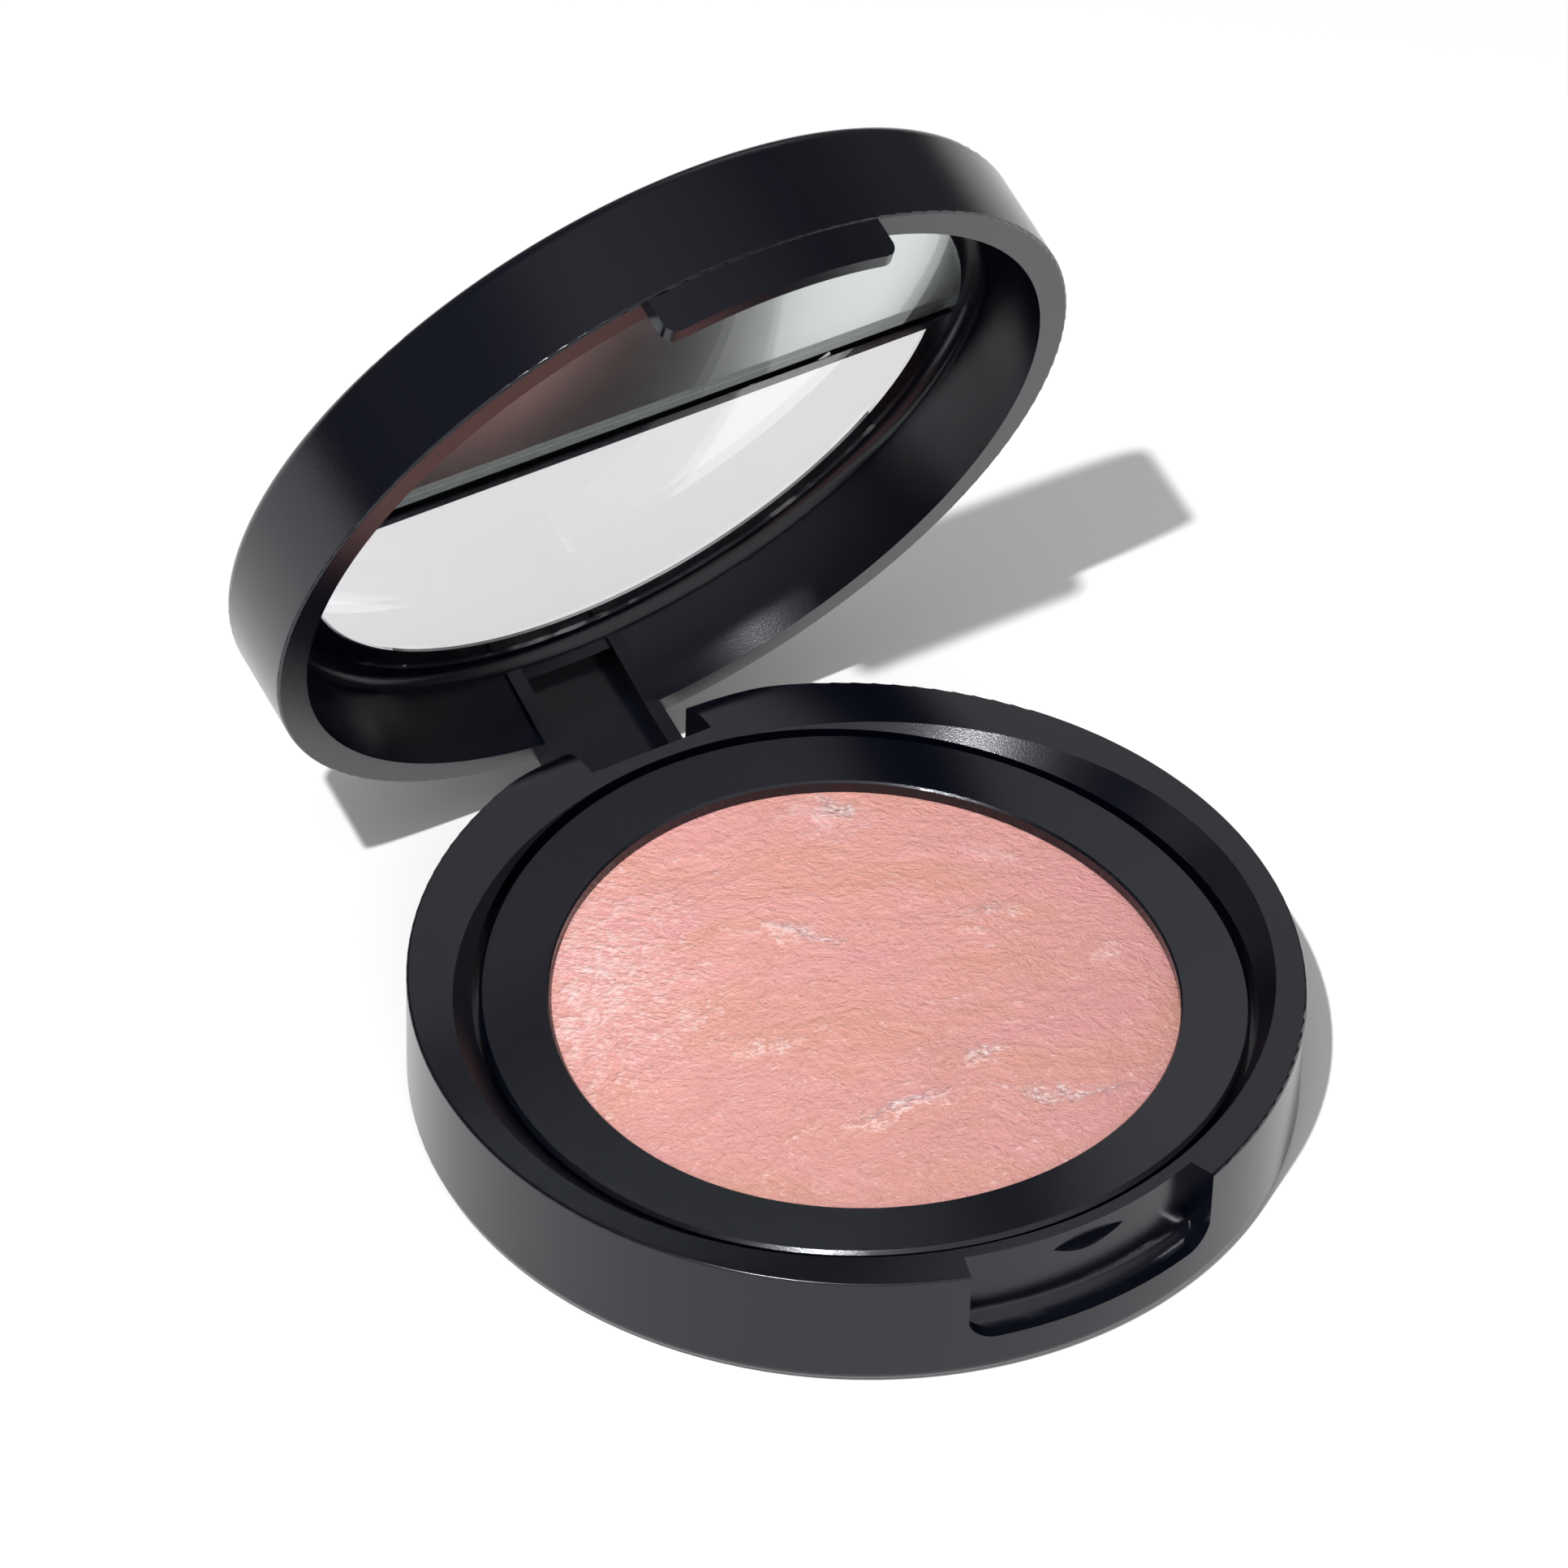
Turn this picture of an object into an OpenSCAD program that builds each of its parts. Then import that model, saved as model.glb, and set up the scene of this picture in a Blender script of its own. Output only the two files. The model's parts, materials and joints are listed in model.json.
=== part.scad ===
// Round flip-top powder compact with a domed baked powder, a half-moon mirror and a half-moon window.
// Units are millimetres. The origin is the centre of the base's flat underside, +Z is up,
// +Y points to the hinge, -Y to the thumb tab and +X to the right.

/* [Body] */
// outside diameter of the base and the lid
body_d = 64; // [63.5:0.1:66]
// height of the base from its underside to the rim land
base_h = 9.5; // [9.4:0.1:11]
// height of the lid from its rim to its flat top
lid_h = 8.25; // [8.15:0.05:8.6]
// gap between the two rim lands when the lid is shut
shut_gap = 0.1; // [0.05:0.01:0.2]

/* [Lid] */
// how far the lid stands open
open_angle = 70; // [0:1:98]
// inside radius of the lid wall at its rim
lid_rim_inner_r = 29.73; // [29.4:0.01:30]
// radius of the window cut through the lid
window_r = 25.8; // [24.5:0.1:26.2]
// distance of the window's straight edge behind the lid's centre line
window_chord_y = 1.35; // [1:0.05:3]
// radius of the mirror's curved edge
mirror_r = 26.63; // [25:0.01:26.8]
// distance of the mirror's straight edge in front of the lid's centre line
mirror_chord_y = 2.8; // [2:0.1:5]
// thickness of the mirror glass
glass_t = 1.35; // [1:0.05:1.6]

/* [Powder well] */
// radius of the well at the rim land
well_r = 27.95; // [27.8:0.05:28.1]
// outside radius of the pan bezel
bezel_r = 27.43; // [27:0.01:27.45]
// radius of the powder opening in the bezel
opening_r = 22.47; // [20:0.01:23]
// height of the powder's crown above the underside of the base
crown_z = 9.3; // [8.8:0.1:9.5]

/* [Hinge] */
// distance of the pin behind the centre of the base
hinge_y = 30.3; // [30.2:0.05:30.4]
// height of the pin above the underside of the base
hinge_z = 4; // [3.9:0.05:4.2]
// diameter of the pin
pin_d = 1.5; // [1.2:0.1:1.6]
// width of the lid's lug
lug_w = 9.8; // [8:0.1:10]

/* [Thumb tab] */
// width of the tab at the rim
tab_w = 18.4; // [16:0.1:18.6]
// how far the tab hangs past the rim
tab_drop = 3.1; // [2.5:0.1:3.4]

/* [Hidden] */
$fn = 96;
over = 0.3;
outer_r = body_d / 2;

plastic = [0.11, 0.115, 0.125];
blush = [0.87, 0.64, 0.6];
terracotta = [0.62, 0.36, 0.26];
glue = [0.85, 0.83, 0.76];
steel = [0.68, 0.68, 0.7];
label_grey = [0.8, 0.8, 0.8];
clear = [0.86, 0.88, 0.88];
silver = [0.82, 0.83, 0.84];
tape_white = [0.9, 0.9, 0.87];

// base
floor_t = 1.4;
foot_round = 1;
land_round = 0.2;
well_y = -1.13;
well_step_z = base_h - 3;
well_lower_r = bezel_r + 0.02;
label_r = 23;
label_t = 0.1;

// crescents between the land and the well: each is cut by a cone that leans outwards
crescent_x = 29.78;
crescent_tip = 45.65;
crescent_flare = 29.5;
crescent_lean = 19.54;
crescent_l = 70;
crescent_end_x = 6.5;

// bezel: its top is part of a shallow trough that runs from side to side
trough_r = 243.9;
trough_depth = 1.55;
trough_fn = 720;
bezel_lip_t = 1;
bezel_skirt_t = 1;
bezel_edge = 0.3;
lip_edge = 0.16;

// powder, tile and glue
tile_r = 24;
tile_t = 3.1;
glue_r = 20;
glue_t = 0.1;
cake_r = 23.9;
crown_side_r = 105;
crown_fore_r = 187;
curve_fn = 256;

// thumb notch in the base
notch_wall_r = 30;
notch_half_angle = 18.2;
notch_half_w = 10.1;
notch_depth = 6.1;
notch_corner_r = 2.2;
notch_fillet = 1.2;
catch_r = 6.44;
catch_reach = 0.55;
catch_top = 1.35;
catch_h = 1.1;
catch_root_r = 29.5;

// hinge notch, ears and pin
hinge_notch_w = 10.2;
hinge_notch_y = 28;
sill_z = 1.9;
ear_round_r = 4;
ear_round_y = 29.15;
ear_round_w = 28;
pin_l = 16.4;
pin_clear = 0.05;
pin_fit = 0.01;
barrel_r = 1.6;

// lid, measured upwards from its rim
lid_round = 1;
lid_foot_r = 29.1;
cove_r = 1.6;
panel_z = 7.5;
lens_flange_r = 27.4;
lens_flange_t = 0.5;
lens_chord_y = 0.05;
lens_gap = 0.15;
lens_inset = 0.05;
tape_t = 0.1;
silver_t = 0.05;
tape_margin = 0.6;
lug_panel_y = 30.45;
rib_w = 1.2;
rib_front_y = 28.95;
rib_top_z = 6.1;
rib_lean = 0.5;
channel_top_z = 5.3;
tab_outer_r = outer_r - 0.15;
tab_lip_r = 30.65;
tab_corner_r = 1.1;
tab_root = 0.6;
hook_in_r = 27.2;
hook_w = 0.25;
hook_t = 0.22;
hook_clear = 0.05;
// each snap hook: its direction from the lid's centre and the angle it covers
snap_hooks = [[56, 6.5], [78.7, 6], [90.4, 1.3], [101.3, 6], [124, 6.5]];

hinge_in_lid_z = hinge_z - base_h - shut_gap;
trough_z = base_h - trough_depth;

// ---------- shared shapes ----------

// round bar along X
module x_rod(radius, from_x, to_x) {
  translate([from_x, 0, 0])
    rotate([0, 90, 0])
      cylinder(r = radius, h = to_x - from_x);
}

// the lid's own frame, with its rim in the XY plane, swung about the pin
module in_lid() {
  translate([0, hinge_y, hinge_z])
    rotate([-open_angle, 0, 0])
      translate([0, -hinge_y, -hinge_in_lid_z])
        children();
}

// part of a disc between two straight edges that run parallel to the hinge
module disc_slice(radius, from_y, to_y, thick) {
  intersection() {
    cylinder(r = radius, h = thick);
    translate([-radius - 1, from_y, -1])
      cube([2 * radius + 2, to_y - from_y, thick + 2]);
  }
}

// barrel that lies along X with its crown at the origin: its top curves by fore_r from front to back
// and by side_r from side to side
module barrel(side_r, fore_r) {
  translate([0, 0, -fore_r])
    rotate([0, 90, 0])
      rotate_extrude($fn = curve_fn)
        intersection() {
          translate([fore_r - side_r, 0])
            circle(r = side_r, $fn = curve_fn);
          translate([0, -bezel_r - 1])
            square([fore_r, 2 * bezel_r + 2]);
        }
}

// large round bar whose underside is the trough, raised by lift
module trough(lift) {
  translate([0, 0, trough_z + lift + trough_r])
    x_rod(trough_r, -outer_r, outer_r, $fn = trough_fn);
}

function sagitta(radius, half) = radius - sqrt(radius * radius - half * half);
function arc_radius(sag, half) = (sag * sag + half * half) / (2 * sag);

// ---------- base ----------

module base_outline() {
  square([outer_r - foot_round, base_h]);
  translate([0, foot_round])
    square([outer_r - land_round, base_h - foot_round]);
  translate([0, foot_round])
    square([outer_r, base_h - foot_round - land_round]);
  translate([outer_r - foot_round, foot_round])
    circle(r = foot_round);
  translate([outer_r - land_round, base_h - land_round])
    circle(r = land_round);
}

module well() {
  translate([0, well_y, well_step_z])
    cylinder(r = well_r, h = base_h);
  translate([0, well_y, floor_t])
    cylinder(r = well_lower_r, h = base_h);
}

// finger crescent on the right; the left one is its mirror image
module crescent() {
  tip_x = crescent_x - crescent_tip * tan(crescent_flare + crescent_lean);
  intersection() {
    translate([tip_x, well_y, base_h - crescent_tip])
      rotate([0, crescent_lean, 0])
        cylinder(r1 = 0, r2 = crescent_l * tan(crescent_flare), h = crescent_l, $fn = curve_fn);
    translate([crescent_end_x, -outer_r, base_h - 3])
      cube([outer_r, 2 * outer_r, 6]);
  }
}

module thumb_notch() {
  floor_z = base_h - notch_depth;
  difference() {
    intersection() {
      translate([0, 0, -1])
        linear_extrude(base_h + 4)
          polygon([[0, 0], [-40 * sin(notch_half_angle), -40 * cos(notch_half_angle)],
            [40 * sin(notch_half_angle), -40 * cos(notch_half_angle)]]);
      rotate([90, 0, 0])
        linear_extrude(50) {
          translate([-notch_half_w, floor_z + notch_corner_r])
            square([2 * notch_half_w, base_h]);
          translate([-notch_half_w + notch_corner_r, floor_z])
            square([2 * (notch_half_w - notch_corner_r), base_h]);
          for (side = [-1, 1])
            translate([side * (notch_half_w - notch_corner_r), floor_z + notch_corner_r])
              circle(r = notch_corner_r);
        }
    }
    rotate_extrude() {
      square([notch_wall_r, base_h + 10]);
      difference() {
        square([notch_wall_r + notch_fillet, floor_z + notch_fillet]);
        translate([notch_wall_r + notch_fillet, floor_z + notch_fillet])
          circle(r = notch_fillet);
      }
    }
  }
}

// lens-shaped snap catch on the back wall of the thumb notch
module snap_catch() {
  difference() {
    translate([0, -notch_wall_r - catch_reach + catch_r, base_h - catch_top - catch_h])
      cylinder(r1 = catch_r - catch_reach - 0.1, r2 = catch_r, h = catch_h);
    translate([0, 0, -1])
      cylinder(r = catch_root_r, h = base_h + 4);
  }
}

module hinge_notch() {
  translate([-hinge_notch_w / 2, hinge_notch_y, sill_z])
    cube([hinge_notch_w, 6, base_h]);
}

// the rear top edge of the ears is rounded about a line parallel to the pin
module ear_rounding() {
  translate([0, ear_round_y, base_h - ear_round_r])
    difference() {
      translate([-ear_round_w / 2, 0, 0])
        cube([ear_round_w, 6, ear_round_r + 1]);
      x_rod(ear_round_r, -ear_round_w / 2 - 1, ear_round_w / 2 + 1);
    }
}

module pin_hole() {
  // blind at the left end and open to the outside at the right, where the pin goes in
  translate([0, hinge_y, hinge_z])
    x_rod(pin_d / 2 + pin_fit, -pin_l / 2 - 0.1, outer_r);
}

module base_shell() color(plastic) {
  difference() {
    rotate_extrude()
      base_outline();
    well();
    crescent();
    mirror([1, 0, 0])
      crescent();
    thumb_notch();
    hinge_notch();
    ear_rounding();
    pin_hole();
    translate([0, 0, -1])
      cylinder(r = label_r + 0.3, h = 1 + label_t);
  }
  snap_catch();
}

// everything inside the eased outer edge of the bezel, which follows the trough
module inside_bezel_edge() {
  fore_r = 1.58 * bezel_r;
  side_sag = sagitta(fore_r, bezel_r) + sagitta(trough_r, bezel_r);
  translate([0, 0, trough_z - bezel_edge + side_sag])
    barrel(arc_radius(side_sag, bezel_r), fore_r);
}

// cutter that eases the edge of the powder opening
module lip_easing() {
  fore_r = 1.37 * opening_r;
  side_sag = sagitta(fore_r, opening_r) - sagitta(trough_r, opening_r);
  translate([0, 0, trough_z - lip_edge - side_sag])
    mirror([0, 0, 1])
      barrel(arc_radius(side_sag, opening_r), fore_r);
}

module pan_bezel() color(plastic)
  translate([0, well_y, 0])
    difference() {
      intersection() {
        translate([0, 0, floor_t])
          cylinder(r = bezel_r, h = base_h);
        inside_bezel_edge();
      }
      translate([0, 0, floor_t - 1])
        cylinder(r = opening_r, h = base_h + 2);
      trough(0);
      lip_easing();
      // hollow under the lip, inside the skirt
      difference() {
        cylinder(r = bezel_r - bezel_skirt_t, h = base_h);
        trough(-bezel_lip_t);
      }
    }

module tile_adhesive() color(glue)
  translate([0, well_y, floor_t])
    cylinder(r = glue_r, h = glue_t);

module baking_tile() color(terracotta)
  translate([0, well_y, floor_t + glue_t])
    cylinder(r = tile_r, h = tile_t);

// the crown curves more from side to side than from front to back
module powder_cake() color(blush)
  translate([0, well_y, 0])
    intersection() {
      translate([0, 0, floor_t + glue_t + tile_t])
        cylinder(r = cake_r, h = base_h);
      translate([0, 0, crown_z])
        barrel(crown_side_r, crown_fore_r);
    }

// blank, set flush with the foot
module base_label() color(label_grey)
  cylinder(r = label_r, h = label_t);

module hinge_pin() color(steel)
  translate([0, hinge_y, hinge_z])
    x_rod(pin_d / 2, -pin_l / 2, pin_l / 2);

// ---------- lid, drawn with its rim in the XY plane ----------

module lid_outline() {
  square([outer_r - land_round, lid_h - lid_round]);
  translate([0, land_round])
    square([outer_r, lid_h - lid_round - land_round]);
  translate([outer_r - land_round, land_round])
    circle(r = land_round);
  square([outer_r - lid_round, lid_h]);
  translate([outer_r - lid_round, lid_h - lid_round])
    circle(r = lid_round);
}

module lid_hollow() {
  polygon([[0, -1], [lid_rim_inner_r, -1], [lid_rim_inner_r, 0], [lid_foot_r, panel_z - cove_r],
    [0, panel_z - cove_r]]);
  square([lid_foot_r - cove_r, panel_z]);
  translate([lid_foot_r - cove_r, panel_z - cove_r])
    circle(r = cove_r);
}

module lid_cup() {
  rotate_extrude()
    difference() {
      lid_outline();
      lid_hollow();
    }
}

module lug_blank() {
  intersection() {
    union() {
      // back plate, down to the pin
      translate([-lug_w / 2, lug_panel_y, hinge_in_lid_z])
        cube([lug_w, 3, 4 - hinge_in_lid_z]);
      for (side = [-1, 1])
        translate([side * (lug_w - rib_w) / 2 - rib_w / 2, 0, 0])
          rotate([90, 0, 90])
            linear_extrude(rib_w)
              polygon([[rib_front_y, hinge_in_lid_z], [outer_r, hinge_in_lid_z], [outer_r, rib_top_z],
                [rib_front_y - rib_lean, rib_top_z], [rib_front_y, 0]]);
      translate([0, hinge_y, hinge_in_lid_z])
        x_rod(barrel_r, -lug_w / 2, lug_w / 2);
    }
    translate([0, 0, hinge_in_lid_z - 3])
      cylinder(r = outer_r, h = 20);
  }
}

module lug_channel() {
  translate([-lug_w / 2 + rib_w, rib_front_y - 2, 0])
    cube([lug_w - 2 * rib_w, lug_panel_y - rib_front_y + 2, channel_top_z]);
}

module thumb_tab() {
  intersection() {
    difference() {
      translate([0, 0, -tab_drop])
        cylinder(r = tab_outer_r, h = tab_drop + tab_root);
      translate([0, 0, -tab_drop - 1])
        cylinder(r = tab_lip_r, h = tab_drop + tab_root + 2);
    }
    rotate([90, 0, 0])
      linear_extrude(50) {
        translate([-tab_w / 2, -tab_drop + tab_corner_r])
          square([tab_w, tab_drop + tab_root]);
        translate([-tab_w / 2 + tab_corner_r, -tab_drop])
          square([tab_w - 2 * tab_corner_r, tab_drop]);
        for (side = [-1, 1])
          translate([side * (tab_w / 2 - tab_corner_r), -tab_drop + tab_corner_r])
            circle(r = tab_corner_r);
      }
  }
}

// small hooks round the seat that reach under the lens flange and hold it
module snap_hook_ring() {
  flange_z = panel_z - lens_flange_t - hook_clear;
  back_r = lens_flange_r + hook_clear;
  for (hook = snap_hooks)
    rotate([0, 0, hook[0] - hook[1] / 2])
      rotate_extrude(angle = hook[1])
        polygon([[hook_in_r, flange_z - hook_t / 2], [back_r, flange_z - hook_t],
          [back_r + hook_w, flange_z - hook_t / 2], [back_r + hook_w, panel_z + over],
          [back_r, panel_z + over], [back_r, flange_z], [hook_in_r, flange_z]]);
}

module lid_shell() color(plastic) in_lid() {
  difference() {
    union() {
      lid_cup();
      lug_blank();
      thumb_tab();
      snap_hook_ring();
    }
    lug_channel();
    translate([0, 0, panel_z - 1])
      disc_slice(window_r, window_chord_y, window_r, 3);
    translate([0, hinge_y, hinge_in_lid_z])
      x_rod(pin_d / 2 + pin_clear, -lug_w, lug_w);
  }
}

module window_lens() color(clear) in_lid()
  translate([0, 0, panel_z - lens_flange_t]) {
    disc_slice(lens_flange_r, lens_chord_y, lens_flange_r, lens_flange_t);
    disc_slice(window_r - lens_gap, window_chord_y + lens_gap, window_r,
      lid_h - panel_z + lens_flange_t - lens_inset);
  }

module mirror_glass() color(clear) in_lid()
  translate([0, 0, panel_z - tape_t - silver_t - glass_t])
    disc_slice(mirror_r, -mirror_r, -mirror_chord_y, glass_t);

module mirror_silvering() color(silver) in_lid()
  translate([0, 0, panel_z - tape_t - silver_t])
    disc_slice(mirror_r, -mirror_r, -mirror_chord_y, silver_t);

module mirror_tape() color(tape_white) in_lid()
  translate([0, 0, panel_z - tape_t])
    disc_slice(mirror_r - tape_margin, -mirror_r, -mirror_chord_y - tape_margin, tape_t);

base_shell();
pan_bezel();
baking_tile();
powder_cake();
tile_adhesive();
base_label();
hinge_pin();
lid_shell();
window_lens();
mirror_glass();
mirror_silvering();
mirror_tape();
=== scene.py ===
import json
import math

import bpy
from mathutils import Matrix, Vector, noise as field
from mathutils.bvhtree import BVHTree


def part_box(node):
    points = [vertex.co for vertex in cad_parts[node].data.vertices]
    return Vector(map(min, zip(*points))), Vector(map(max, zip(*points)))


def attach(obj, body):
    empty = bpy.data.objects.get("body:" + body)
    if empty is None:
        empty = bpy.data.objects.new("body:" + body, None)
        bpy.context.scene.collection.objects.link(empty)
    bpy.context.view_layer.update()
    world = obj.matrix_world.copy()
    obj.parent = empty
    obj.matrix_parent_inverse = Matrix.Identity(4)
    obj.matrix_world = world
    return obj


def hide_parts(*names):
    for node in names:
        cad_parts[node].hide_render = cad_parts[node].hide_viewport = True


MM = 0.001

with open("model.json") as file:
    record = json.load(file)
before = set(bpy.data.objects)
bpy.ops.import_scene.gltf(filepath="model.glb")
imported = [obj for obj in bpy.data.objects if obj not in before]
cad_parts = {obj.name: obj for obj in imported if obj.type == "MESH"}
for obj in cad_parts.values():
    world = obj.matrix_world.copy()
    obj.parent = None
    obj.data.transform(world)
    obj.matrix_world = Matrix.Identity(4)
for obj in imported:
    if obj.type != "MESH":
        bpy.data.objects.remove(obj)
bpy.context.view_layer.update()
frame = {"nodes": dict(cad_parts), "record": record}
nodes = frame["nodes"]
record = frame["record"]

# ---------- node helpers ----------


def new_material(name):
    """An empty node material: its name, node tree and output."""
    material = bpy.data.materials.new(name)
    material.use_nodes = True
    tree = material.node_tree
    tree.nodes.clear()
    return material, tree, tree.nodes.new("ShaderNodeOutputMaterial")


def finished(tree, output, shader):
    tree.links.new(shader, output.inputs["Surface"])


def fill(tree, socket, source):
    """Links a socket to another one, or gives it a value."""
    if isinstance(source, bpy.types.NodeSocket):
        tree.links.new(source, socket)
    else:
        socket.default_value = source


def add(tree, kind, links=None, **settings):
    """A node with its properties set, and its inputs either linked or given a value."""
    node = tree.nodes.new(kind)
    for key, value in settings.items():
        setattr(node, key, value)
    for name, source in (links or {}).items():
        fill(tree, node.inputs[name], source)
    return node


def place(tree):
    """The point being shaded, in the object's own metres."""
    return add(tree, "ShaderNodeTexCoord").outputs["Object"]


def noise(tree, vector, per_mm, detail=2.0, rough=0.5, twist=0.0):
    """Fractal noise with about per_mm blobs to the millimetre."""
    inputs = {"Vector": vector, "Scale": per_mm / MM, "Detail": detail, "Roughness": rough, "Distortion": twist}
    return add(tree, "ShaderNodeTexNoise", inputs).outputs["Fac"]


def ramp(tree, fac, *stops):
    """Colour ramp through (position, colour) stops; a single number is a grey."""
    node = add(tree, "ShaderNodeValToRGB", {"Fac": fac})
    while len(node.color_ramp.elements) < len(stops):
        node.color_ramp.elements.new(0.5)
    for element, (position, colour) in zip(node.color_ramp.elements, stops):
        element.position = position
        element.color = (*colour, 1) if isinstance(colour, tuple) else (colour, colour, colour, 1)
    return node.outputs["Color"]


def mixed(tree, fac, first, second, blend="MIX"):
    """Two colours mixed by fac; either may be an RGB triple."""
    node = add(tree, "ShaderNodeMix", data_type="RGBA", blend_type=blend)
    # a mix node keeps a set of sockets for each data type: 0 is its factor, 6 and 7 are its colours
    for socket, source in zip((0, 6, 7), (fac, first, second)):
        fill(tree, node.inputs[socket], (*source, 1) if isinstance(source, tuple) else source)
    return node.outputs[2]


def maths(tree, operation, first, second=0.0):
    return add(tree, "ShaderNodeMath", {0: first, 1: second}, operation=operation).outputs[0]


def vector_maths(tree, operation, links, output=0):
    return add(tree, "ShaderNodeVectorMath", links, operation=operation).outputs[output]


def rising(tree, value, low, high):
    """0 below low, 1 above high and a smooth step between."""
    limits = {"Value": value, "From Min": low, "From Max": high}
    return add(tree, "ShaderNodeMapRange", limits, interpolation_type="SMOOTHSTEP").outputs[0]


def total(tree, *parts):
    """The sum of (value, weight) parts."""
    summed = 0.0
    for value, weight in parts:
        terms = {0: value, 1: weight, 2: summed}
        summed = add(tree, "ShaderNodeMath", terms, operation="MULTIPLY_ADD").outputs[0]
    return summed


def bumped(tree, height, depth_mm, strength=1.0, under=None):
    """A normal disturbed by height, on top of the normal under where there is one."""
    links = {"Height": height, "Distance": depth_mm * MM, "Strength": strength}
    if under is not None:
        links["Normal"] = under
    return add(tree, "ShaderNodeBump", links).outputs["Normal"]


def flat_normal(tree):
    """Each face's own normal, so that thin flat glass doesn't shade as if its edges were soft."""
    return add(tree, "ShaderNodeNewGeometry").outputs["True Normal"]


# ---------- plain materials ----------


def satin_plastic():
    """Black moulded plastic with a fine spark-eroded grain."""
    material, tree, output = new_material("satin_black_plastic")
    at = place(tree)
    cloud = noise(tree, at, 0.05, 2.0)
    grain = noise(tree, at, 9.0, 2.0, 0.6)
    shader = add(tree, "ShaderNodeBsdfPrincipled", {
        "Base Color": mixed(tree, cloud, (0.0008, 0.0012, 0.0036), (0.0012, 0.0016, 0.0044)),
        "IOR": 1.5,
        "Specular Tint": (0.93, 0.94, 1.0, 1),
        "Roughness": ramp(tree, cloud, (0.3, 0.17), (0.7, 0.21)),
        "Normal": bumped(tree, grain, 0.008)})
    finished(tree, output, shader.outputs[0])
    return material


def silver():
    """The mirror's reflecting layer."""
    material, tree, output = new_material("mirror_silver")
    at = place(tree)
    shader = add(tree, "ShaderNodeBsdfPrincipled", {
        "Base Color": mixed(tree, noise(tree, at, 0.05), (0.86, 0.88, 0.88), (0.9, 0.91, 0.91)),
        "Metallic": 1.0,
        "Roughness": ramp(tree, noise(tree, at, 0.1, 3.0), (0.3, 0.21), (0.7, 0.24)),
        "Normal": bumped(tree, noise(tree, at, 0.02, 1.0), 0.01, 0.05, flat_normal(tree))})
    finished(tree, output, shader.outputs[0])
    return material


def cut_edge(tree, sheet):
    """1 on the edge of a flat sheet and 0 on its two faces."""
    across = max(sheet.data.polygons, key=lambda face: face.area).normal
    local = add(tree, "ShaderNodeVectorTransform", {"Vector": flat_normal(tree)},
        vector_type="NORMAL", convert_from="WORLD", convert_to="OBJECT").outputs[0]
    facing_on = vector_maths(tree, "DOT_PRODUCT", {0: local, 1: across}, "Value")
    return rising(tree, maths(tree, "ABSOLUTE", facing_on), 0.9, 0.5)


def clear(name, sheet, tint, edge_tint, rough_low, rough_high, rough_edge, ior):
    """Clear sheet with a duller edge: a real refracting solid that lets light through to what is behind it."""
    material, tree, output = new_material(name)
    at = place(tree)
    edge = cut_edge(tree, sheet)
    rough_face = ramp(tree, noise(tree, at, 0.08, 3.0), (0.35, rough_low), (0.65, rough_high))
    glass = add(tree, "ShaderNodeBsdfGlass", {
        "Color": mixed(tree, edge, tint, edge_tint),
        "Roughness": maths(tree, "MAXIMUM", rough_face, total(tree, (edge, rough_edge))),
        "IOR": ior,
        "Normal": bumped(tree, noise(tree, at, 0.03, 1.0), 0.01, 0.1, flat_normal(tree))})
    through = add(tree, "ShaderNodeBsdfTransparent", {"Color": (*tint, 1)})
    shadow = add(tree, "ShaderNodeLightPath").outputs["Is Shadow Ray"]
    pick = add(tree, "ShaderNodeMixShader", {0: shadow, 1: glass.outputs[0], 2: through.outputs[0]})
    finished(tree, output, pick.outputs[0])
    return material


def grained(name, dark, light, rough, grain_per_mm, depth_mm, metal=0.0, stretch=(1, 1, 1)):
    """A plain material with a mottled colour, a grain and an uneven gloss."""
    material, tree, output = new_material(name)
    at = add(tree, "ShaderNodeMapping", {"Vector": place(tree), "Scale": stretch}).outputs["Vector"]
    grain = noise(tree, at, grain_per_mm, 4.0, 0.6)
    shader = add(tree, "ShaderNodeBsdfPrincipled", {
        "Base Color": mixed(tree, noise(tree, at, grain_per_mm / 4, 3.0), dark, light),
        "Metallic": metal,
        "Roughness": ramp(tree, grain, (0.3, rough - 0.05), (0.7, rough + 0.05)),
        "Normal": bumped(tree, grain, depth_mm, 0.6)})
    finished(tree, output, shader.outputs[0])
    return material


# ---------- powder material ----------

# direction of the streaks, in degrees from +X
streak = -20
# where the marbling gathers: x, y, half length and half width in mm, and turn in degrees
# the left side toward the key light gets more pale crumbs: partly real pearl flecks, partly a painted highlight
pearly_and_lit_side = (-15, 10, 17, 10, 57)
pale_clumps = (
    pearly_and_lit_side,
    (-2.5, 6, 5, 1.6, -30),
    (-9, -3, 5, 1.6, -40),
    (8, 16, 4, 2.5, -30),
    (-5, -13, 7, 1.6, -15),
    (4, -12, 3, 2.2, 0),
    (12, 2, 5, 1.4, -20),
    (17, 7, 4, 1.4, -35),
    (18, -7, 2, 1.5, 20),
    (9.5, 0.5, 1.5, 0.7, -20),
)
grey_veins = (
    (7, -17, 7.5, 1.0, -19),
    (4, -12, 2.5, 1.4, 0),
    (-4, -12.5, 5, 0.9, -15),
    (9, 16.5, 2.5, 1.5, -60),
    (-1, 5.5, 4, 0.9, -30),
    (12, 2.5, 4, 0.6, -20),
)
tan_patches = (
    (-3.5, -6, 10, 6, -25),
    (6, 10.5, 11, 4, -30),
    (-12, 4, 5, 2.5, -35),
    (-14, -14, 6, 2.5, -20),
    (12, -4, 7, 3, -20),
)


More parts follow.
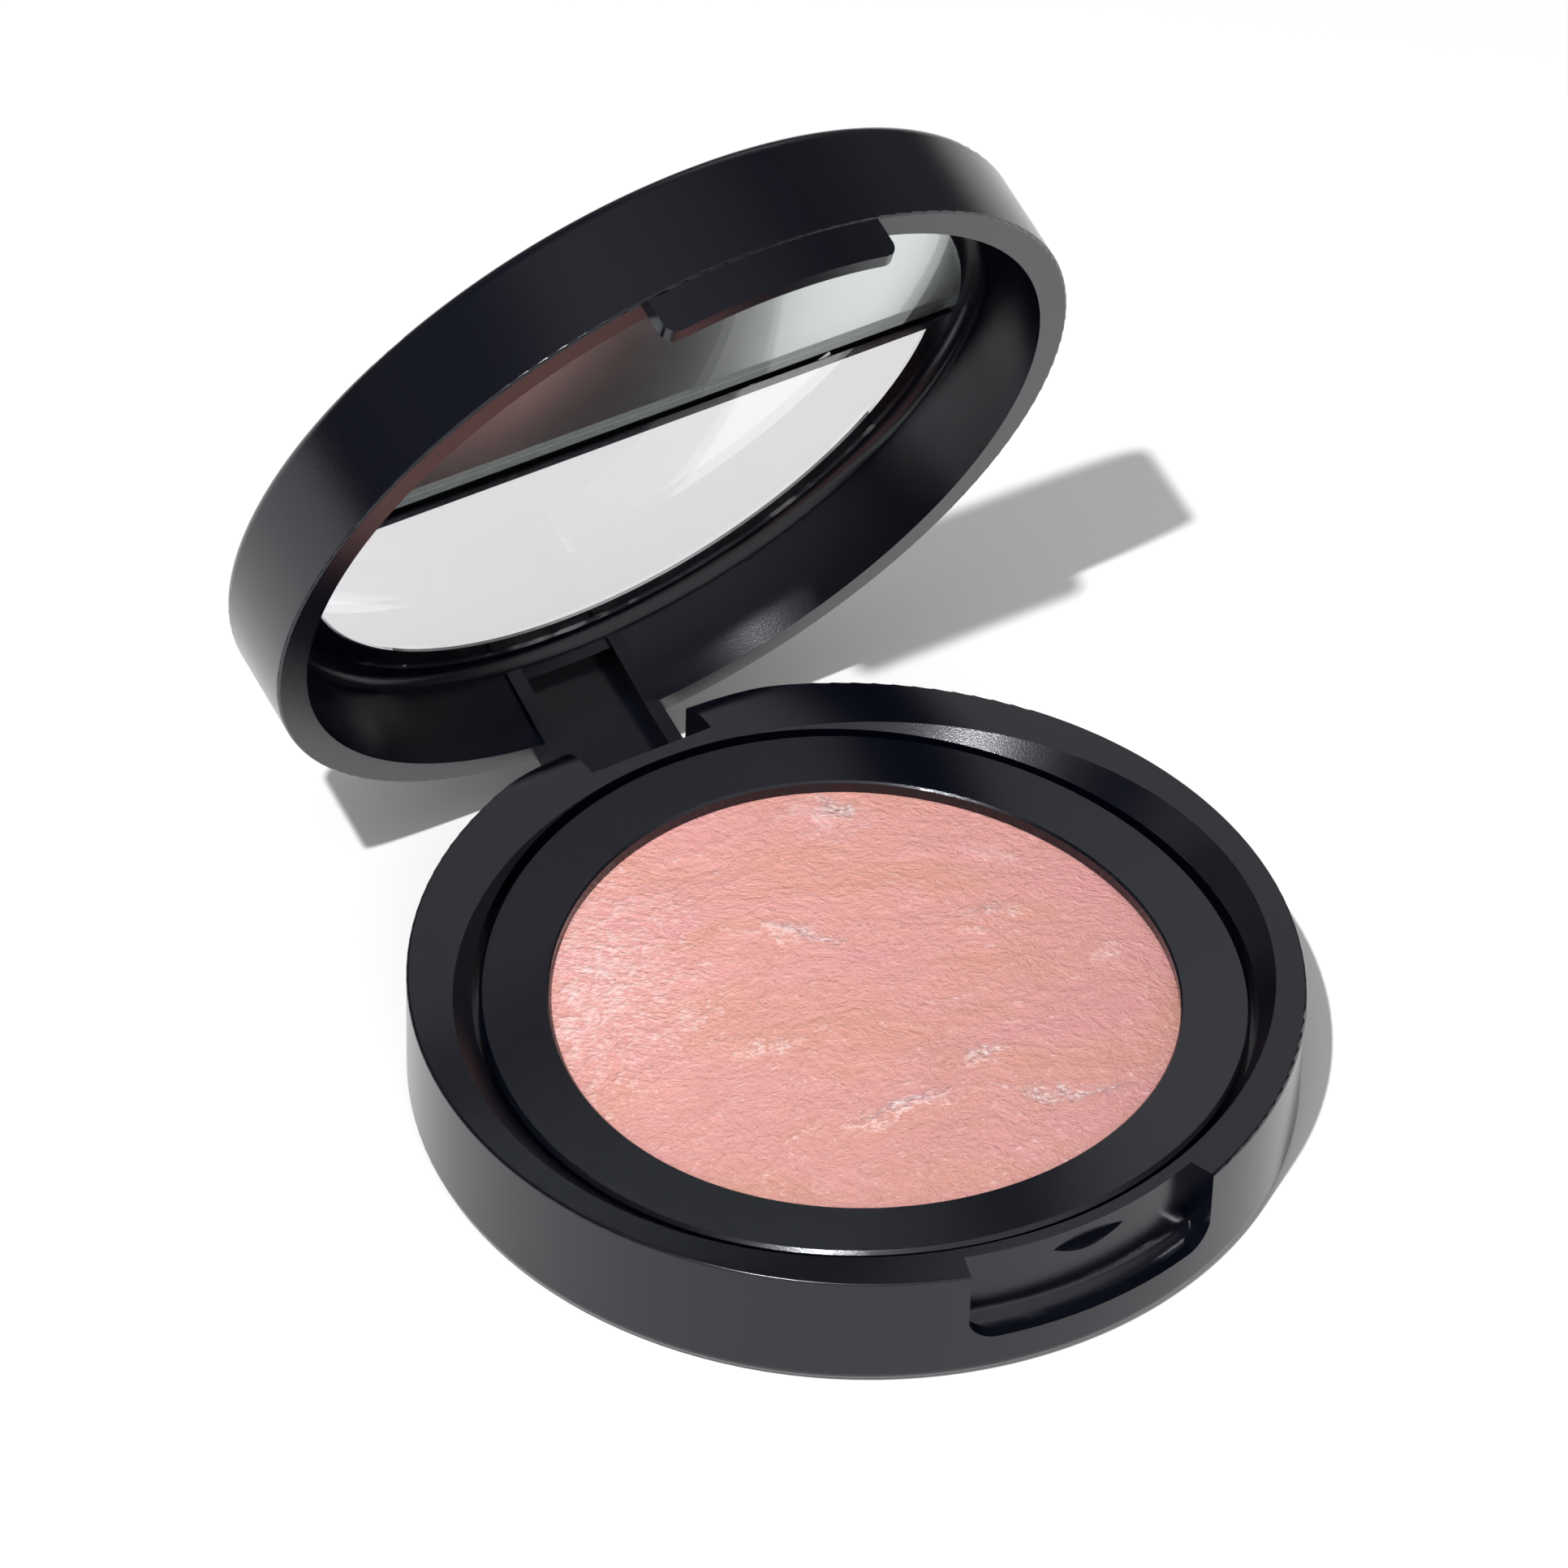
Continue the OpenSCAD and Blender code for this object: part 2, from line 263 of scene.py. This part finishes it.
def warped(tree, at, per_mm, push_mm):
    """The point at, pushed about by a slow colour noise, so that patterns on it swirl."""
    bend = add(tree, "ShaderNodeTexNoise", {"Vector": at, "Scale": per_mm / MM, "Detail": 2.0}).outputs["Color"]
    push = vector_maths(tree, "SUBTRACT", {0: bend, 1: (0.5, 0.5, 0.5)})
    push = vector_maths(tree, "SCALE", {0: push, "Scale": push_mm * MM})
    return vector_maths(tree, "ADD", {0: at, 1: push})


def measured(tree, at, middle, turn, scale):
    """The point at in axes that start at middle, are turned by turn degrees about Z and are scaled by scale."""
    axes = {"Vector": at, "Location": middle, "Rotation": (0, 0, math.radians(turn)), "Scale": scale}
    return add(tree, "ShaderNodeMapping", axes, vector_type="TEXTURE").outputs["Vector"]


def along(tree, at, turn, long):
    """The point at, measured so that patterns on it come out long times longer in the direction turn."""
    return measured(tree, at, (0, 0, 0), turn, (long, 1, 1))


def gathered(tree, at, spots):
    """1 in the middle of each spot, falling to 0 at its edge."""
    nearest = 0.0
    for x, y, half_long, half_wide, turn in spots:
        local = measured(tree, at, (x * MM, y * MM, 0), turn, (half_long * MM, half_wide * MM, 1))
        away = vector_maths(tree, "LENGTH", {0: local}, "Value")
        nearest = maths(tree, "MAXIMUM", maths(tree, "SUBTRACT", 1.0, away), nearest)
    return nearest


def powder():
    """Baked powder: pink with tan streaks, crumbly pale clumps, grey veins and a wrinkled, grainy skin, with
    painted shade toward the front, painted light toward the back and a painted highlight in the pale crumbs on the
    left side.
    """
    material, tree, output = new_material("marbled_baked_powder")
    at = place(tree)
    swirl = warped(tree, at, 0.12, 6.0)
    crumbled = warped(tree, swirl, 0.9, 1.3)
    crumbs = noise(tree, at, 2.4, 4.0, 0.65)
    dust = noise(tree, at, 7.0, 2.0, 0.6)

    # colour: slow pink and tan streaks, with painted shade darkening the front and painted light brightening the
    # back
    slow = noise(tree, along(tree, swirl, streak, 3.0), 0.22, 4.0, 0.6)
    tan = total(tree, (slow, 1.0), (gathered(tree, swirl, tan_patches), 0.14))
    colour = ramp(tree, tan, (0.36, (0.695, 0.32, 0.315)), (0.5, (0.695, 0.33, 0.30)), (0.64, (0.67, 0.318, 0.262)))
    # painted shade and light: the colour is multiplied by 0.84 at the front, rising to 1.12 at the back
    behind = rising(tree, add(tree, "ShaderNodeSeparateXYZ", {"Vector": at}).outputs["Y"], -24 * MM, 24 * MM)
    colour = mixed(tree, 1.0, colour, ramp(tree, behind, (0.0, 0.84), (1.0, 1.12)), "MULTIPLY")

    # pale pearly crumbs, thick in the clumps and thin elsewhere; the clump on the left side, toward the key light,
    # is partly real pearl and partly a painted highlight
    clump = total(tree, (noise(tree, crumbled, 0.9, 4.0, 0.65), 1.0), (gathered(tree, crumbled, pale_clumps), 0.32))
    flakes = noise(tree, along(tree, at, streak, 1.6), 3.6, 3.0, 0.6)
    pearl = rising(tree, total(tree, (clump, 1.0), (flakes, 1.1)), 1.1, 1.6)
    colour = mixed(tree, total(tree, (pearl, 0.85)), colour, (0.88, 0.62, 0.6))

    # grey veins, feathered and broken
    grey = total(tree, (gathered(tree, crumbled, grey_veins), 0.5), (noise(tree, crumbled, 1.6, 4.0, 0.7), 1.2))
    grey = rising(tree, grey, 0.72, 1.2)
    vein = ramp(tree, flakes, (0.4, (0.36, 0.23, 0.24)), (0.5, (0.56, 0.41, 0.41)), (0.62, (0.84, 0.72, 0.7)))
    colour = mixed(tree, total(tree, (grey, 0.8)), colour, vein)

    # relief: wrinkles along the streaks, crumbs, dust, and ruts on the pearly side
    wrinkles = noise(tree, along(tree, swirl, streak, 1.5), 1.3, 5.0, 0.66, 0.1)
    ruts = noise(tree, along(tree, warped(tree, at, 0.3, 0.5), -50, 5.0), 3.0, 3.0, 0.55)
    rutted = total(tree, (ruts, rising(tree, gathered(tree, at, (pearly_and_lit_side,)), 0.0, 0.4)))
    height = total(tree, (wrinkles, 0.2), (crumbs, 0.14), (rutted, 0.16), (clump, 0.26), (grey, -0.05))
    shader = add(tree, "ShaderNodeBsdfPrincipled", {
        "Base Color": colour,
        "IOR": 1.5,
        "Roughness": ramp(tree, pearl, (0.0, 0.55), (1.0, 0.36)),
        "Normal": bumped(tree, dust, 0.035, 1.0, bumped(tree, height, 1.0))})
    finished(tree, output, shader.outputs[0])
    return material


# ---------- finishes ----------

finishes = {
    "compact_plastic": satin_plastic(),
    "baked_powder": powder(),
    "terracotta": grained("fired_terracotta", (0.3, 0.1, 0.055), (0.4, 0.15, 0.08), 0.85, 3.0, 0.06),
    "glue": grained("set_glue", (0.66, 0.63, 0.52), (0.74, 0.7, 0.6), 0.4, 0.6, 0.05),
    "label_paper": grained("blank_label", (0.6, 0.6, 0.6), (0.66, 0.66, 0.66), 0.5, 6.0, 0.01),
    "pin_steel": grained("drawn_wire", (0.5, 0.5, 0.52), (0.6, 0.6, 0.62), 0.28, 6.0, 0.01, 1.0, (0.1, 1, 1)),
    "clear_window": clear("clear_window", nodes["window_lens"], (0.955, 0.95, 0.962), (0.9, 0.9, 0.9),
        rough_low=0.004, rough_high=0.012, rough_edge=0.05, ior=1.49),
    "mirror_glass": clear("float_glass", nodes["mirror_glass"], (0.955, 0.965, 0.962), (0.3, 0.31, 0.31),
        rough_low=0.0, rough_high=0.004, rough_edge=0.2, ior=1.52),
    "mirror_silver": silver(),
    "mounting_tape": grained("mounting_tape", (0.72, 0.72, 0.68), (0.78, 0.78, 0.74), 0.7, 5.0, 0.02),
}
for row in record["subparts"]:
    shown = nodes[row["node"]]
    shown.data.materials.clear()
    shown.data.materials.append(finishes[row["material_slot"]])

# the silvering draws back a hair from the glass, so the two faces never share a plane
drawn_back = nodes["mirror_silvering"].modifiers.new("drawn_back", "DISPLACE")
drawn_back.mid_level = 0
drawn_back.strength = -0.01 * MM

# ---------- powder relief ----------

deepest_dent_mm = 0.12


def dent(x, y):
    """Depth in mm of the powder's skin below its smooth crown at x, y in mm: long soft ridges with finer lumps."""
    turn = math.radians(streak)
    along_mm = x * math.cos(turn) + y * math.sin(turn)
    across_mm = y * math.cos(turn) - x * math.sin(turn)
    sway = 1.2 * field.noise(Vector((0.1 * x, 0.1 * y, 7.0)))
    ridges = field.fractal(Vector((0.16 * along_mm, 0.4 * (across_mm + sway), 3.0)), 0.8, 2.0, 3)
    lumps = field.fractal(Vector((0.9 * along_mm, 1.5 * across_mm, 11.0)), 0.9, 2.0, 2)
    return min(deepest_dent_mm, max(0.0, 0.06 + 0.045 * ridges + 0.02 * lumps))


def relief_cake(smooth_cake, rings=84, spokes=336):
    """The powder cake with its ridges and lumps pressed into it, fading out where the bezel covers it."""
    skin = BVHTree.FromObject(smooth_cake, bpy.context.evaluated_depsgraph_get())
    low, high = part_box("powder_cake")
    middle = (low + high) / 2
    edge_r = (high.x - low.x) / 2
    covered_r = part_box("pan_bezel")[1].x - 5 * MM
    # the last ring stays just inside the edge, where a ray can still meet the skin
    last_r = edge_r - 0.01 * MM

    def on_skin(radius, spoke):
        angle = 2 * math.pi * spoke / spokes
        x, y = middle.x + radius * math.cos(angle), middle.y + radius * math.sin(angle)
        top = skin.ray_cast(Vector((x, y, high.z + MM)), Vector((0, 0, -1)))[0]
        fade = min(1.0, max(0.0, (covered_r - radius) / MM))
        return x, y, top.z - fade * dent(x / MM, y / MM) * MM

    points = [on_skin(0, 0)]
    for ring in range(1, rings + 1):
        radius = min(edge_r * ring / rings, last_r)
        points += [on_skin(radius, spoke) for spoke in range(spokes)]
    rim = len(points) - spokes
    points += [(x, y, low.z) for x, y, z in points[rim:]] + [(middle.x, middle.y, low.z)]
    faces = []
    for spoke in range(spokes):
        beside = (spoke + 1) % spokes
        faces.append((0, 1 + spoke, 1 + beside))
        for ring in range(rings):
            inner = 1 + ring * spokes
            faces.append((inner + spoke, inner + spokes + spoke, inner + spokes + beside, inner + beside))
        faces.append((rim + spokes + spoke, len(points) - 1, rim + spokes + beside))
    mesh = bpy.data.meshes.new("powder_relief")
    mesh.from_pydata(points, [], faces)
    mesh.shade_smooth()
    cake = bpy.data.objects.new("powder_relief", mesh)
    bpy.context.scene.collection.objects.link(cake)
    return cake


relief = relief_cake(nodes["powder_cake"])
relief.data.materials.append(finishes["baked_powder"])
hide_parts("powder_cake")
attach(relief, "base")

# ---------- floor ----------

floor_half = 3.0
bpy.ops.mesh.primitive_plane_add(size=2 * floor_half, location=(0, 0, 0))
floor = bpy.context.object
floor.name = "floor"
material, tree, output = new_material("pale_floor")
at = place(tree)
shader = add(tree, "ShaderNodeBsdfPrincipled", {
    "Base Color": mixed(tree, noise(tree, at, 0.02, 2.0), (0.86, 0.86, 0.86), (0.87, 0.87, 0.87)),
    "Roughness": 0.9,
    "Specular IOR Level": 0.1,
    "Normal": bumped(tree, noise(tree, at, 1.0), 0.02, 0.1)})
finished(tree, output, shader.outputs[0])
floor.data.materials.append(material)

# ---------- light ----------


def facing(azimuth, elevation):
    """Unit vector at azimuth degrees from the front, positive to the right, and elevation degrees up."""
    turn, tilt = math.radians(azimuth), math.radians(elevation)
    return Vector((math.sin(turn) * math.cos(tilt), -math.cos(turn) * math.cos(tilt), math.sin(tilt)))


def area_light(name, toward, distance, size, power):
    """Square soft box that shines on the object from the direction toward."""
    data = bpy.data.lights.new(name, "AREA")
    data.size = size
    data.energy = power
    light = bpy.data.objects.new(name, data)
    bpy.context.scene.collection.objects.link(light)
    light.location = toward * distance
    light.rotation_mode = "QUATERNION"
    light.rotation_quaternion = toward.to_track_quat("Z", "Y")


# a small hard key light almost in the plane of the open lid, so the lid throws a narrow shadow
key_distance = 1.01
key_size = 0.02
# watts that this light would need at 1 m
key_power = 10.0
area_light("key", facing(-55.3, 57.8), key_distance, key_size, key_power * key_distance ** 2)

# a dim room, darker near the floor, with a wide soft fill in front and a smaller one behind on the right
world = bpy.data.worlds.new("studio")
bpy.context.scene.world = world
world.use_nodes = True
tree = world.node_tree
sky = tree.nodes["Background"]
toward = add(tree, "ShaderNodeTexCoord").outputs["Generated"]


def panel(azimuth, elevation, half_angle, edge_angle):
    """1 inside half_angle of a direction and 0 beyond edge_angle, in degrees."""
    across = vector_maths(tree, "DOT_PRODUCT", {0: toward, 1: facing(azimuth, elevation)}, "Value")
    return rising(tree, across, math.cos(math.radians(edge_angle)), math.cos(math.radians(half_angle)))


height = add(tree, "ShaderNodeSeparateXYZ", {"Vector": toward}).outputs["Z"]
room = ramp(tree, height, (0.0, 0.06), (0.35, 0.2), (0.6, 0.16), (0.8, 0.14), (1.0, 0.4))
front_fill = panel(-15, 30, 35, 65)
back_fill = panel(143, 37, 5, 20)
tree.links.new(total(tree, (room, 1.0), (front_fill, 0.8), (back_fill, 0.6)), sky.inputs["Color"])

# ---------- camera ----------

camera_azimuth = math.radians(-33.155)
camera_elevation = math.radians(40.68)
camera_roll = math.radians(1.805)
camera_distance = 610.69 * MM
camera_target = Vector((5.978, 19.392, 10.0)) * MM
sensor_mm = 36
focal_over_sensor = 5.354

back = Vector((math.sin(camera_azimuth) * math.cos(camera_elevation),
    -math.cos(camera_azimuth) * math.cos(camera_elevation), math.sin(camera_elevation)))
right = Vector((0, 0, 1)).cross(back).normalized()
up = back.cross(right)
turn = Matrix((right, up, back)).transposed() @ Matrix.Rotation(camera_roll, 3, "Z")
camera_data = bpy.data.cameras.new("camera")
camera_data.sensor_width = sensor_mm
camera_data.lens = sensor_mm * focal_over_sensor
camera_data.clip_start = 0.05
camera_data.clip_end = 20
camera = bpy.data.objects.new("camera", camera_data)
bpy.context.scene.collection.objects.link(camera)
camera.rotation_mode = "QUATERNION"
camera.location = camera_target + back * camera_distance
camera.rotation_quaternion = turn.to_quaternion()
bpy.context.scene.camera = camera

bpy.context.scene.view_settings.view_transform = "Standard"
bpy.context.scene.view_settings.look = "None"
